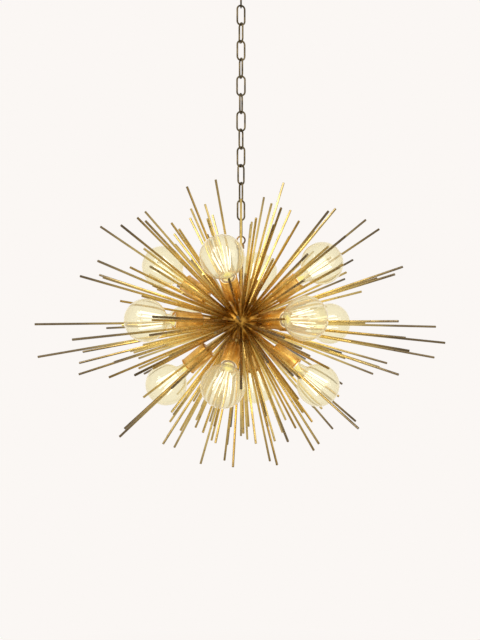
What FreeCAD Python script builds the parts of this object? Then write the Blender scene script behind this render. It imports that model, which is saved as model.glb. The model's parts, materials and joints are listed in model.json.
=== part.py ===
"""Sputnik chandelier: a brass ball bristling with rods, twelve globe lamps, hung on a chain.

Sizes are in millimetres. The origin is the middle of the ceiling plate, on the ceiling;
+Z points up, so that the chandelier hangs at negative Z, and -Y is its front.
Every size is a named cell of the spreadsheet, and every sub-part is a document object
that is bound to those cells and written to parts/ as one STEP file under its own label.
"""

import FreeCAD
import Part
import Sketcher
import math
import os

Vector = FreeCAD.Vector
UP = Vector(0, 0, 1)
ORIGIN = (-1, 1)
ACROSS_AXIS = -1
UPRIGHT_AXIS = -2
TINY = 1e-9

doc = FreeCAD.newDocument("SputnikChandelier")
sheet = doc.addObject("Spreadsheet::Sheet", "dims")
nodes = []

# Driving sizes, then the ones worked out from them. Angles are in degrees.
SIZES = (
    # Ceiling set
    ("strap_length", "102"),
    ("strap_width", "19"),
    ("strap_thickness", "2"),
    ("strap_corner", "4"),
    ("strap_hole_radius", "2.4"),
    ("box_screw_spacing", "89"),
    ("nipple_radius", "4.8"),
    ("nipple_bore_radius", "3.2"),
    ("nut_radius", "8"),
    ("nut_height", "4"),
    ("canopy_radius", "66"),
    ("canopy_depth", "26"),
    ("canopy_wall", "1.2"),
    ("canopy_shoulder", "15"),
    ("ring_radius", "11"),
    ("ring_height", "5"),
    ("ring_recess", "1"),
    ("collar_radius", "7.5"),
    ("collar_height", "11"),
    ("collar_chamfer", "1.5"),
    # Loops and chain
    ("eye_radius", "9"),
    ("eye_wire_radius", "1.8"),
    ("link_length", "49"),
    ("link_width", "22"),
    ("link_wire_radius", "2.05"),
    ("link_slit", "0.4"),
    ("chain_play", "0.2"),
    ("link_count", "15"),
    # Ball, stem and rods
    ("hub_radius", "44"),
    ("boss_radius", "9"),
    ("boss_height", "47"),
    ("stem_radius", "4.8"),
    ("stem_bore_radius", "3.2"),
    ("stem_seat", "6"),
    ("eye_above_hub", "184.7"),
    ("rod_radius", "2.6"),
    ("rod_seat", "3"),
    ("reach_long", "457"),
    ("reach_middle", "381"),
    ("reach_short", "330"),
    ("reach_stub", "279"),
    ("rod_spread", "7.2"),
    ("lamp_spread", "13.6"),
    # Lamp holders, measured outwards along the lamp's axis
    ("arm_radius", "5"),
    ("cup_start", "97"),
    ("cup_length", "63"),
    ("cup_radius", "19.5"),
    ("cup_wall", "1.2"),
    ("cup_round", "2.5"),
    ("lip_radius", "20.3"),
    ("lip_height", "3"),
    ("insulator_radius", "17.6"),
    ("insulator_length", "57"),
    ("shell_radius", "14.4"),
    ("shell_wall", "0.6"),
    ("shell_length", "24"),
    ("contact_radius", "4"),
    ("contact_height", "1.2"),
    # Lamp, measured outwards from its contact tip
    ("lamp_start", "134.5"),
    ("tip_radius", "4.6"),
    ("tip_height", "1.5"),
    ("heel_radius", "9.5"),
    ("heel_height", "5"),
    ("cap_radius", "13.2"),
    ("cap_height", "27"),
    ("cap_wall", "0.5"),
    ("globe_radius", "47.5"),
    ("lamp_length", "138"),
    ("glass_wall", "0.9"),
    ("neck_radius", "12.6"),
    ("neck_start", "22"),
    ("throat_radius", "15"),
    ("throat_height", "38"),
    ("shoulder_radius", "21"),
    ("shoulder_curve", "12"),
    ("foot_radius", "7"),
    ("foot_height", "20"),
    ("pillar_radius", "2.2"),
    ("strand_count", "12"),
    ("strand_radius", "0.9"),
    ("strand_length", "50"),
    ("strand_low_radius", "12"),
    ("strand_low_height", "54"),
    ("strand_lean", "9"),
    ("spoke_radius", "0.4"),
    # Lamp places round the ball
    ("tier_turn", "-12.5"),
    ("upper_rise", "35"),
    ("lower_fall", "39"),
    ("side_turn", "75"),
    ("side_spread", "38"),
    # Worked out
    ("canopy_inner_radius", "=canopy_radius - canopy_wall"),
    ("canopy_inner_depth", "=canopy_depth - canopy_wall"),
    ("nipple_length", "=canopy_depth + ring_height + 4"),
    ("collar_top", "=canopy_depth + ring_height - ring_recess"),
    ("eye_depth", "=collar_top + collar_height + eye_radius"),
    ("link_bend", "=link_width / 2 - link_wire_radius"),
    ("link_half", "=link_length / 2 - link_wire_radius"),
    ("link_straight", "=link_length - link_width"),
    ("link_pitch", "=2 * link_half - 2 * link_wire_radius - chain_play"),
    ("bar_gap", "=eye_wire_radius + link_wire_radius + chain_play"),
    ("first_link", "=eye_depth + eye_radius - bar_gap + link_half"),
    ("last_link", "=first_link + (link_count - 1) * link_pitch"),
    ("stem_eye", "=last_link + link_half - bar_gap + eye_radius"),
    ("hub_depth", "=stem_eye + eye_above_hub"),
    ("hub_waist", "=sqrt(hub_radius * hub_radius - boss_radius * boss_radius)"),
    ("stem_start", "=boss_height - stem_seat"),
    ("stem_end", "=eye_above_hub - eye_radius - collar_height + ring_recess + stem_seat"),
    ("arm_start", "=hub_radius - rod_seat"),
    ("cup_floor", "=cup_start + cup_wall"),
    ("cup_inner_radius", "=cup_radius - cup_wall"),
    ("socket_floor", "=lamp_start - contact_height - 0.3"),
    ("socket_step", "=socket_floor - cup_floor"),
    ("globe_centre", "=lamp_length - globe_radius"),
    ("shoulder_height", "=globe_centre - sqrt(globe_radius * globe_radius"
                        " - shoulder_radius * shoulder_radius)"),
    ("strand_high_radius", "=strand_low_radius + strand_length * sin(strand_lean)"),
    ("strand_high_height", "=strand_low_height + strand_length * cos(strand_lean)"),
    ("low_spoke_height", "=strand_low_height + 2 * spoke_radius"),
    ("high_spoke_height", "=strand_high_height - 2 * spoke_radius"),
    ("pillar_top", "=high_spoke_height + 2 * spoke_radius"),
    ("inner_globe_radius", "=globe_radius - glass_wall"),
    ("inner_shoulder_radius", "=shoulder_radius - glass_wall"),
    ("inner_shoulder_height", "=globe_centre - sqrt(inner_globe_radius * inner_globe_radius"
                              " - inner_shoulder_radius * inner_shoulder_radius)"),
)

# The rods' drilling plan: height angle of the row, seats in the row, first turn, reaches in order.
ROWS = (
    (73, 4, 0, ("stub", "short", "stub")),
    (66, 6, 36, ("stub", "stub", "short")),
    (61, 5, 25, ("stub", "short", "stub")),
    (49, 11, 10, ("stub", "stub", "short")),
    (43, 12, 20, ("short", "stub", "middle")),
    (39, 14, 25, ("middle", "stub", "short")),
    (34, 18, 14, ("short", "middle", "stub")),
    (30, 17, 15, ("short", "stub", "middle")),
    (25, 16, 15, ("stub", "middle")),
    (18, 19, 2, ("stub", "middle", "short")),
    (14, 14, 9, ("stub", "long", "middle")),
    (10, 16, 19, ("middle", "short", "stub")),
    (-1, 18, 19, ("stub", "long", "middle")),
    (-6, 19, 10, ("long", "middle", "short", "middle")),
    (-10, 18, 18, ("middle", "long", "stub")),
    (-14, 21, 8, ("middle", "short", "stub")),
    (-18, 14, 16, ("middle", "long", "middle", "short")),
    (-22, 16, 0, ("middle", "short", "stub")),
    (-37, 17, 11, ("short", "stub", "middle")),
    (-41, 13, 19, ("middle", "stub")),
    (-45, 16, 19, ("middle", "stub", "short")),
    (-54, 9, 20, ("stub", "short", "stub")),
    (-60, 19, 2, ("stub", "short", "stub")),
    (-74, 10, 25, ("stub", "short")),
    (-78, 7, 12, ("short", "short", "stub")),
)

# How far each link of the chain is turned about the vertical, from the top one down.
LINK_TURNS = (0, 90, 20, 115, 22, 110, 0, 73, 175, 64, 154, 43, 111, 30, 100)


def fill_sheet():
    """Write the sizes into the spreadsheet, each under its alias."""
    for row, (name, value) in enumerate(SIZES, start=1):
        sheet.set(f"A{row}", name)
        sheet.set(f"B{row}", value)
        sheet.setAlias(f"B{row}", name)
    doc.recompute()


def size(name):
    """The value of one cell."""
    return float(sheet.get(name))


def cell(expression):
    """The expression with every size's name led to its cell, as other objects need it."""
    words = expression.replace("(", " ( ").replace(")", " ) ").split()
    names = {name for name, _ in SIZES}
    return " ".join(f"dims.{word}" if word in names else word for word in words)


def value(expression):
    """The number that an expression of sizes stands for."""
    result = sheet.evalExpression(cell(expression).replace("dims.", ""))
    return float(getattr(result, "Value", result))


def node(item, label):
    """Give an object its label and list it among the sub-parts that are written out."""
    item.Label = label
    nodes.append(item)
    return item


def body(name):
    """A new empty body."""
    return doc.addObject("PartDesign::Body", name)


def sketch_on(owner, plane, name):
    """A sketch flat on one of the body's own origin planes."""
    sketch = owner.newObject("Sketcher::SketchObject", name)
    support = next(item for item in owner.Origin.OriginFeatures if item.Role == plane)
    sketch.AttachmentSupport = [(support, "")]
    sketch.MapMode = "FlatFace"
    return sketch


def bind_point(sketch, point, across, upright):
    """Hold one point of a sketch at two expressions, or on an axis where they are zero."""
    for kind, expression, axis in (("DistanceX", across, UPRIGHT_AXIS), ("DistanceY", upright, ACROSS_AXIS)):
        if abs(value(expression)) < TINY:
            sketch.addConstraint(Sketcher.Constraint("PointOnObject", *point, axis))
            continue
        index = sketch.addConstraint(Sketcher.Constraint(kind, *ORIGIN, *point, value(expression)))
        sketch.setExpression(f"Constraints[{index}]", cell(expression))


def arc_between(start, end, radius, side):
    """The arc from start to end that bulges to the left (side 1) or the right (side -1).

    Either way it is drawn anticlockwise, as a sketch keeps it.
    """
    chord = end - start
    middle = (start + end) * 0.5
    offset = math.sqrt(max(radius * radius - chord.Length ** 2 / 4, 0))
    normal = Vector(-chord.y, chord.x, 0).normalize()
    centre = middle - normal * (side * offset)
    crown = centre + normal * (side * radius)
    return Part.Arc(start, crown, end) if side < 0 else Part.Arc(end, crown, start)


def draw_outline(sketch, outline):
    """Draw a closed outline of lines and arcs, every corner bound to its expressions.

    A corner is (across, upright); with two more items, (radius, side), the stretch that
    arrives at it is an arc.
    """
    corners = [Vector(value(item[0]), value(item[1]), 0) for item in outline]
    ends = []
    for index, item in enumerate(outline):
        start = corners[index - 1]
        end = corners[index]
        if len(item) == 2:
            edge = sketch.addGeometry(Part.LineSegment(start, end))
            ends.append(((edge, 1), (edge, 2)))
            continue
        edge = sketch.addGeometry(arc_between(start, end, value(item[2]), item[3]))
        ends.append(((edge, 1), (edge, 2)) if item[3] < 0 else ((edge, 2), (edge, 1)))
        bend = sketch.addConstraint(Sketcher.Constraint("Radius", edge, value(item[2])))
        sketch.setExpression(f"Constraints[{bend}]", cell(item[2]))
    for index, item in enumerate(outline):
        following = ends[(index + 1) % len(ends)][0]
        sketch.addConstraint(Sketcher.Constraint("Coincident", *ends[index][1], *following))
        bind_point(sketch, ends[index][1], item[0], item[1])


def turned(name, outline):
    """A body turned about its upright axis from an outline of (radius, height) corners."""
    owner = body(name)
    sketch = sketch_on(owner, "XZ_Plane", name + "_outline")
    draw_outline(sketch, outline)
    doc.recompute()
    turn = owner.newObject("PartDesign::Revolution", name + "_turn")
    turn.Profile = sketch
    turn.ReferenceAxis = (sketch, ["V_Axis"])
    turn.Angle = 360
    owner.Tip = turn
    return owner


def sheet_plate(name, outline, holes, thickness):
    """A body padded down from a flat outline, with round holes of (across, upright, radius)."""
    owner = body(name)
    sketch = sketch_on(owner, "XY_Plane", name + "_outline")
    draw_outline(sketch, outline)
    for across, upright, radius in holes:
        centre = Vector(value(across), value(upright), 0)
        circle = sketch.addGeometry(Part.Circle(centre, UP, value(radius)))
        bind_point(sketch, (circle, 3), across, upright)
        bound = sketch.addConstraint(Sketcher.Constraint("Radius", circle, value(radius)))
        sketch.setExpression(f"Constraints[{bound}]", cell(radius))
    doc.recompute()
    pad = owner.newObject("PartDesign::Pad", name + "_pad")
    pad.Profile = sketch
    pad.setExpression("Length", cell(thickness))
    pad.Reversed = True
    owner.Tip = pad
    return owner


def cylinder(name, radius, height):
    """A cylinder bound to two expressions, standing on its own origin."""
    item = doc.addObject("Part::Cylinder", name)
    item.setExpression("Radius", cell(radius))
    item.setExpression("Height", cell(height))
    return item


def half_ring(name, radius, wire, sweep):
    """A wire bent round the upright axis through part of a turn."""
    item = doc.addObject("Part::Torus", name)
    item.setExpression("Radius1", cell(radius))
    item.setExpression("Radius2", cell(wire))
    item.Angle3 = sweep
    return item


def fused(name, members):
    """Several objects joined into one solid."""
    item = doc.addObject("Part::MultiFuse", name)
    item.Shapes = members
    return item


def placed(name, members, placement):
    """The same objects again, at another place."""
    item = doc.addObject("Part::Compound", name)
    item.Links = members
    item.Placement = placement
    return item


def direction(turn, rise):
    """The unit vector that is turned from the front towards +X and raised from level."""
    level = math.cos(math.radians(rise))
    turn = math.radians(turn)
    return Vector(math.sin(turn) * level, -math.cos(turn) * level, math.sin(math.radians(rise)))


def from_hub(heading, distance):
    """The placement that stands an upright object on a ray from the middle of the ball."""
    base = Vector(0, 0, -size("hub_depth")) + heading * distance
    return FreeCAD.Placement(base, FreeCAD.Rotation(UP, heading))


def hung(depth=0, turn=0):
    """The placement that hangs an object below the ceiling, turned about the vertical."""
    return FreeCAD.Placement(Vector(0, 0, -depth), FreeCAD.Rotation(UP, turn))


def upside_down():
    """The placement that turns an object which is drawn from the ceiling downwards."""
    return FreeCAD.Placement(Vector(0, 0, 0), FreeCAD.Rotation(Vector(1, 0, 0), 180))


def angle_between(first, second):
    """The angle between two unit vectors, in degrees."""
    return math.degrees(math.acos(max(-1.0, min(1.0, first.dot(second)))))


def lamp_headings():
    """The twelve lamp axes: a ring above, a ring level with the ball in two pairs, a ring below."""
    turn = size("tier_turn")
    quarters = [turn + 90 * step for step in range(4)]
    spread = size("side_spread")
    sides = [size("side_turn") + half + offset for half in (0, 180) for offset in (-spread, spread)]
    above = [direction(quarter, size("upper_rise")) for quarter in quarters]
    level = [direction(side, 0) for side in sides]
    below = [direction(quarter, -size("lower_fall")) for quarter in quarters]
    return above + level + below


def rod_headings(lamps):
    """The rods as (heading, reach): every seat of the plan that is clear of lamps and other rods."""
    rods = []
    for rise, count, first_turn, reaches in ROWS:
        for step in range(count):
            heading = direction(first_turn + 360 * step / count, rise)
            if any(angle_between(heading, lamp) < size("lamp_spread") for lamp in lamps):
                continue
            if any(angle_between(heading, rod) < size("rod_spread") for rod, _ in rods):
                continue
            rods.append((heading, reaches[step % len(reaches)]))
    return rods


def ceiling_set():
    """Strap, threaded nipple, nut, canopy, lock ring and loop: what stays on the ceiling."""
    end = "strap_length / 2"
    inner_end = end + " - strap_corner"
    edge = "strap_width / 2"
    inner_edge = edge + " - strap_corner"
    strap_outline = (
        (end, f"0 - ({inner_edge})", "strap_corner", -1),
        (end, inner_edge),
        (inner_end, edge, "strap_corner", -1),
        (f"0 - ({inner_end})", edge),
        (f"0 - {end}", inner_edge, "strap_corner", -1),
        (f"0 - {end}", f"0 - ({inner_edge})"),
        (f"0 - ({inner_end})", f"0 - {edge}", "strap_corner", -1),
        (inner_end, f"0 - {edge}"),
    )
    strap_holes = (
        ("0 - box_screw_spacing / 2", "0", "strap_hole_radius"),
        ("0", "0", "nipple_radius"),
        ("box_screw_spacing / 2", "0", "strap_hole_radius"),
    )
    node(sheet_plate("Strap", strap_outline, strap_holes, "strap_thickness"), "mounting_strap")

    nipple = turned("Nipple", (
        ("nipple_bore_radius", "0"),
        ("nipple_radius", "0"),
        ("nipple_radius", "nipple_length"),
        ("nipple_bore_radius", "nipple_length"),
    ))
    nipple.Placement = upside_down()
    node(nipple, "threaded_nipple")

    nut = doc.addObject("Part::Prism", "NutBlank")
    nut.Polygon = 6
    nut.setExpression("Circumradius", cell("nut_radius"))
    nut.setExpression("Height", cell("nut_height"))
    nut_hole = cylinder("NutHole", "nipple_radius", "nut_height")
    nut_cut = doc.addObject("Part::Cut", "Nut")
    nut_cut.Base = nut
    nut_cut.Tool = nut_hole
    nut_cut.Placement = hung(size("strap_thickness") + size("nut_height"))
    node(nut_cut, "strap_nut")

    canopy = turned("Canopy", (
        ("canopy_radius", "0"),
        ("canopy_radius", "canopy_depth - canopy_shoulder"),
        ("canopy_radius - canopy_shoulder", "canopy_depth", "canopy_shoulder", -1),
        ("nipple_radius", "canopy_depth"),
        ("nipple_radius", "canopy_inner_depth"),
        ("canopy_radius - canopy_shoulder", "canopy_inner_depth"),
        ("canopy_inner_radius", "canopy_depth - canopy_shoulder", "canopy_shoulder - canopy_wall", 1),
        ("canopy_inner_radius", "0"),
    ))
    canopy.Placement = upside_down()
    node(canopy, "canopy")

    ring = turned("LockRing", (
        ("nipple_radius", "canopy_depth"),
        ("ring_radius", "canopy_depth"),
        ("ring_radius", "canopy_depth + ring_height - ring_recess"),
        ("ring_radius - ring_recess", "canopy_depth + ring_height"),
        ("collar_radius", "canopy_depth + ring_height"),
        ("collar_radius", "collar_top"),
        ("nipple_radius", "collar_top"),
    ))
    ring.Placement = upside_down()
    node(ring, "canopy_lock_ring")

    collar = turned("LoopCollar", (
        ("nipple_radius", "collar_top"),
        ("collar_radius", "collar_top"),
        ("collar_radius", "collar_top + collar_height - collar_chamfer"),
        ("collar_radius - collar_chamfer", "collar_top + collar_height"),
        ("0", "collar_top + collar_height"),
        ("0", "nipple_length"),
        ("nipple_radius", "nipple_length"),
    ))
    collar.Placement = upside_down()
    eye = half_ring("LoopEye", "eye_radius", "eye_wire_radius", 360)
    eye.Placement = FreeCAD.Placement(Vector(0, 0, -size("eye_depth")), FreeCAD.Rotation(Vector(0, 1, 0), 90))
    node(fused("Loop", [collar, eye]), "canopy_loop")


def chain():
    """The wire links: two bent ends, one whole side, and one side with the slit where it was closed."""
    side = "link_straight / 2"
    slit_side = "link_straight / 2 - link_slit / 2"
    top = half_ring("LinkTop", "link_bend", "link_wire_radius", 180)
    bottom = half_ring("LinkBottom", "link_bend", "link_wire_radius", 180)
    whole = cylinder("LinkWhole", "link_wire_radius", "link_straight")
    upper = cylinder("LinkUpper", "link_wire_radius", slit_side)
    lower = cylinder("LinkLower", "link_wire_radius", slit_side)
    across = size("link_bend")
    half = value(side)
    upright = FreeCAD.Rotation(Vector(1, 0, 0), 90)
    inverted = FreeCAD.Rotation(Vector(1, 0, 0), -90)
    top.Placement = FreeCAD.Placement(Vector(0, 0, half), upright)
    bottom.Placement = FreeCAD.Placement(Vector(0, 0, -half), inverted)
    whole.Placement = FreeCAD.Placement(Vector(-across, 0, -half), FreeCAD.Rotation())
    upper.Placement = FreeCAD.Placement(Vector(across, 0, size("link_slit") / 2), FreeCAD.Rotation())
    lower.Placement = FreeCAD.Placement(Vector(across, 0, -half), FreeCAD.Rotation())
    link = fused("Link", [top, whole, upper, bottom, lower])
    for index, turn in enumerate(LINK_TURNS):
        depth = size("first_link") + index * size("link_pitch")
        node(placed(f"Link{index + 1:02d}", [link], hung(depth, turn)), f"chain_link_{index + 1:02d}")


def stem():
    """The short tube above the ball, and the loop at its top that the last link carries."""
    tube = turned("Stem", (
        ("stem_bore_radius", "stem_start"),
        ("stem_radius", "stem_start"),
        ("stem_radius", "stem_end"),
        ("stem_bore_radius", "stem_end"),
    ))
    tube.Placement = hung(size("hub_depth"))
    node(tube, "stem")

    foot = "stem_end - stem_seat"
    collar = turned("StemCollar", (
        ("stem_radius", foot),
        ("collar_radius", foot),
        ("collar_radius", foot + " + collar_height - ring_recess - collar_chamfer"),
        ("collar_radius - collar_chamfer", foot + " + collar_height - ring_recess"),
        ("0", foot + " + collar_height - ring_recess"),
        ("0", "stem_end"),
        ("stem_radius", "stem_end"),
    ))
    eye = half_ring("StemEye", "eye_radius", "eye_wire_radius", 360)
    eye.Placement = FreeCAD.Placement(
        Vector(0, 0, size("eye_above_hub")), FreeCAD.Rotation(Vector(1, 0, 0), 90))
    loop = fused("StemLoop", [collar, eye])
    loop.Placement = hung(size("hub_depth"))
    node(loop, "stem_loop")


def ball_and_rods(lamps, rods):
    """The ball, drilled with a flat-bottomed seat for every rod and arm, and the rods in it."""
    ball = turned("Ball", (
        ("0", "0 - hub_radius"),
        ("boss_radius", "hub_waist", "hub_radius", -1),
        ("boss_radius", "boss_height"),
        ("stem_radius", "boss_height"),
        ("stem_radius", "stem_start"),
        ("0", "stem_start"),
    ))
    ball.Placement = hung(size("hub_depth"))
    seat = cylinder("RodSeat", "rod_radius", "2 * rod_seat")
    arm_seat = cylinder("ArmSeat", "arm_radius", "2 * rod_seat")
    start = size("arm_start")
    seats = [placed(f"Seat{index:03d}", [seat], from_hub(heading, start))
             for index, (heading, _) in enumerate(rods)]
    seats += [placed(f"ArmSeat{index:02d}", [arm_seat], from_hub(heading, start))
              for index, heading in enumerate(lamps)]
    drilled = doc.addObject("Part::Cut", "Hub")
    drilled.Base = ball
    drilled.Tool = placed("Seats", seats, FreeCAD.Placement())
    node(drilled, "hub")

    for reach in ("long", "middle", "short", "stub"):
        rod = cylinder(f"Rod_{reach}", "rod_radius", f"reach_{reach} - arm_start")
        spokes = [placed(f"Rod_{reach}{index:03d}", [rod], from_hub(heading, start))
                  for index, (heading, name) in enumerate(rods) if name == reach]
        node(placed(f"Rods_{reach}", spokes, FreeCAD.Placement()), f"rods_{reach}")


def lamp_holders(lamps):
    """Arm, cup, insulator, screw shell and contact of the twelve sockets."""
    arm = cylinder("Arm", "arm_radius", "cup_floor - arm_start")
    cup = turned("Cup", (
        ("arm_radius", "0"),
        ("cup_radius - cup_round", "0"),
        ("cup_radius", "cup_round", "cup_round", -1),
        ("cup_radius", "cup_length - lip_height"),
        ("lip_radius", "cup_length - lip_height"),
        ("lip_radius", "cup_length"),
        ("cup_inner_radius", "cup_length"),
        ("cup_inner_radius", "cup_wall"),
        ("arm_radius", "cup_wall"),
    ))
    insulator = turned("Insulator", (
        ("0", "0"),
        ("insulator_radius", "0"),
        ("insulator_radius", "insulator_length"),
        ("shell_radius", "insulator_length"),
        ("shell_radius", "socket_step"),
        ("0", "socket_step"),
    ))
    shell = turned("Shell", (
        ("shell_radius - shell_wall", "0"),
        ("shell_radius", "0"),
        ("shell_radius", "shell_length"),
        ("shell_radius - shell_wall", "shell_length"),
    ))
    contact = cylinder("Contact", "contact_radius", "contact_height")
    pieces = (
        ("lamp_arms", arm, size("arm_start")),
        ("socket_cups", cup, size("cup_start")),
        ("socket_insulators", insulator, size("cup_floor")),
        ("socket_shells", shell, size("socket_floor")),
        ("socket_contacts", contact, size("socket_floor")),
    )
    for label, piece, distance in pieces:
        copies = [placed(f"{label}_{index:02d}", [piece], from_hub(heading, distance))
                  for index, heading in enumerate(lamps, start=1)]
        node(placed(label + "_all", copies, FreeCAD.Placement()), label)


def lamps_with_caps(lamps):
    """The twelve globe lamps: a blown envelope, and the cap with its glass pillar.

    The pillar holds a cage of light strands on two wheels of fine wire spokes.
    """
    glass = turned("Glass", (
        ("neck_radius", "neck_start"),
        ("neck_radius", "cap_height"),
        ("throat_radius", "throat_height"),
        ("shoulder_radius", "shoulder_height", "shoulder_curve", 1),
        ("0", "lamp_length", "globe_radius", -1),
        ("0", "lamp_length - glass_wall"),
        ("inner_shoulder_radius", "inner_shoulder_height", "inner_globe_radius", 1),
        ("throat_radius - glass_wall", "throat_height", "shoulder_curve", -1),
        ("neck_radius - glass_wall", "cap_height"),
        ("neck_radius - glass_wall", "neck_start"),
    ))
    cap = turned("Cap", (
        ("0", "0"),
        ("tip_radius - 1", "0"),
        ("tip_radius", "tip_height"),
        ("heel_radius", "heel_height"),
        ("cap_radius", "heel_height + 1"),
        ("cap_radius", "cap_height"),
        ("neck_radius", "cap_height"),
        ("neck_radius", "neck_start"),
        ("neck_radius - glass_wall - cap_wall", "neck_start"),
        ("foot_radius", "foot_height"),
        ("0", "foot_height"),
    ))
    pillar = turned("Pillar", (
        ("0", "foot_height"),
        ("foot_radius", "foot_height"),
        ("foot_radius", "foot_height + 4"),
        ("pillar_radius", "foot_height + 16"),
        ("pillar_radius", "pillar_top"),
        ("0", "pillar_top"),
    ))
    strand = cylinder("Strand", "strand_radius", "strand_length")
    low_spoke = cylinder("Low_spoke", "spoke_radius", "strand_low_radius")
    high_spoke = cylinder("High_spoke", "spoke_radius", "strand_high_radius")
    members = [pillar]
    for index in range(int(size("strand_count"))):
        turn = 360 * index / size("strand_count")
        outwards = direction(turn, 0)
        lean = direction(turn, 90 - size("strand_lean"))
        foot = outwards * size("strand_low_radius") + UP * size("strand_low_height")
        for item, start, heading in (
            (strand, foot, lean),
            (low_spoke, UP * size("low_spoke_height"), outwards),
            (high_spoke, UP * size("high_spoke_height"), outwards),
        ):
            spot = FreeCAD.Placement(start, FreeCAD.Rotation(UP, heading))
            members.append(placed(f"{item.Name}_{index:02d}", [item], spot))
    cage = fused("Cage", members)
    for index, heading in enumerate(lamps, start=1):
        spot = from_hub(heading, size("lamp_start"))
        node(placed(f"Glass{index:02d}", [glass], spot), f"lamp_{index:02d}_glass")
        node(placed(f"Cap{index:02d}", [cap, cage], spot), f"lamp_{index:02d}_cap")


def write_out():
    """Check every object, then write each sub-part as its own STEP file."""
    doc.recompute()
    for item in doc.Objects:
        if {"Invalid", "Error"} & set(item.State):
            raise RuntimeError(f"{item.Label} didn't build: {item.State}")
    os.makedirs("parts", exist_ok=True)
    for item in nodes:
        if item.Shape.isNull() or not item.Shape.isValid():
            raise RuntimeError(f"{item.Label} has no valid shape")
        item.Shape.exportStep(f"parts/{item.Label}.step")
        print(f"{item.Label}: {len(item.Shape.Solids)} solids, {item.Shape.Volume / 1000:.2f} cm3")


fill_sheet()
LAMPS = lamp_headings()
RODS = rod_headings(LAMPS)
ceiling_set()
chain()
stem()
ball_and_rods(LAMPS, RODS)
lamp_holders(LAMPS)
lamps_with_caps(LAMPS)
write_out()
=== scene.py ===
import bmesh
import bpy
import json
import math
import numpy as np
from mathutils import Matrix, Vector


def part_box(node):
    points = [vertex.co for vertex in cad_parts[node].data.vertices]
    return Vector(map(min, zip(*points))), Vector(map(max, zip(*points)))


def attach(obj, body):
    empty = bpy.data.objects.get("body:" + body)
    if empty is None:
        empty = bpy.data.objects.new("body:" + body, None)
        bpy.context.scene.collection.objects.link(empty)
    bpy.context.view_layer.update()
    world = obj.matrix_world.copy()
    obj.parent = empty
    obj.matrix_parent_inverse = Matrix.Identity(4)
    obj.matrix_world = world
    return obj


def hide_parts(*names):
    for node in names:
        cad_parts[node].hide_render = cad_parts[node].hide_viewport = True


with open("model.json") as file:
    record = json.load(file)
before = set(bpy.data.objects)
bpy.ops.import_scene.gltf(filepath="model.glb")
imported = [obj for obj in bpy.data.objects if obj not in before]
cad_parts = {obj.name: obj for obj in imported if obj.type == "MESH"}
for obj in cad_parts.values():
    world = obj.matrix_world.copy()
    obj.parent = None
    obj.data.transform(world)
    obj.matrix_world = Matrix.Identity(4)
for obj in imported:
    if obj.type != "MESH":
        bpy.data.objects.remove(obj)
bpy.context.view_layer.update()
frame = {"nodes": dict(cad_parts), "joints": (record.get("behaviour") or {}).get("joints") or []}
nodes = frame["nodes"]
joints = {joint["name"]: joint for joint in frame["joints"]}


# ---------------------------------------------------------------------------------------
# Strap, threaded nipple and nut: the zinc-plated steel set that screws to the ceiling box.
# It hides inside the canopy; the solids keep their shape, and the thread of the nipple is
# in the finish, as a fine step along its height.
# ---------------------------------------------------------------------------------------
def new_material(name):
    """An empty material with its output and one Principled shader joined to it."""
    material = bpy.data.materials.new(name)
    material.use_nodes = True
    tree = material.node_tree
    tree.nodes.clear()
    output = tree.nodes.new("ShaderNodeOutputMaterial")
    shader = tree.nodes.new("ShaderNodeBsdfPrincipled")
    tree.links.new(shader.outputs[0], output.inputs[0])
    return material, tree, shader


def add_node(tree, kind, inputs=None, **settings):
    """One node with its settings; an input takes a value or another node's output."""
    item = tree.nodes.new(kind)
    for name, value in settings.items():
        setattr(item, name, value)
    for name, value in (inputs or {}).items():
        if isinstance(value, bpy.types.NodeSocket):
            tree.links.new(value, item.inputs[name])
        else:
            item.inputs[name].default_value = value
    return item


def mix_colours(tree, factor, first, second, blend="MIX"):
    """The colour that goes from first to second with the factor."""
    item = add_node(tree, "ShaderNodeMix", {0: factor, 6: first, 7: second},
                    data_type="RGBA", blend_type=blend)
    return item.outputs[2]


def spread_values(tree, value, low, high, out_low=0.0, out_high=1.0):
    """The value stretched from one range to another, and held inside it."""
    names = {"Value": value, "From Min": low, "From Max": high, "To Min": out_low, "To Max": out_high}
    return add_node(tree, "ShaderNodeMapRange", names).outputs[0]


def tarnish_group():
    """Masks that change over a metal's surface: broad clouds, small specks and a fine grain.

    Clouds is a slow noise, Specks the peaks of a quick one, and Grain the height of a fine
    one that is drawn out along the way the metal was brushed.
    """
    tree = bpy.data.node_groups.new("tarnish", "ShaderNodeTree")
    for name, kind in (("Vector", "NodeSocketVector"), ("Cloud Scale", "NodeSocketFloat"),
                       ("Speck Scale", "NodeSocketFloat"), ("Grain Scale", "NodeSocketVector")):
        tree.interface.new_socket(name, in_out="INPUT", socket_type=kind)
    for name in ("Clouds", "Specks", "Grain"):
        tree.interface.new_socket(name, in_out="OUTPUT", socket_type="NodeSocketFloat")
    given = tree.nodes.new("NodeGroupInput").outputs
    result = tree.nodes.new("NodeGroupOutput")
    clouds = add_node(tree, "ShaderNodeTexNoise",
                      {"Vector": given["Vector"], "Scale": given["Cloud Scale"], "Detail": 4.0})
    specks = add_node(tree, "ShaderNodeTexNoise",
                      {"Vector": given["Vector"], "Scale": given["Speck Scale"], "Detail": 2.0})
    drawn = add_node(tree, "ShaderNodeVectorMath", {0: given["Vector"], 1: given["Grain Scale"]},
                     operation="MULTIPLY")
    grain = add_node(tree, "ShaderNodeTexNoise", {"Vector": drawn.outputs[0], "Scale": 1.0, "Detail": 3.0})
    tree.links.new(spread_values(tree, clouds.outputs[0], 0.35, 0.68), result.inputs["Clouds"])
    tree.links.new(spread_values(tree, specks.outputs[0], 0.62, 0.74), result.inputs["Specks"])
    tree.links.new(grain.outputs[0], result.inputs["Grain"])
    return tree


TARNISH = tarnish_group()


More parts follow.
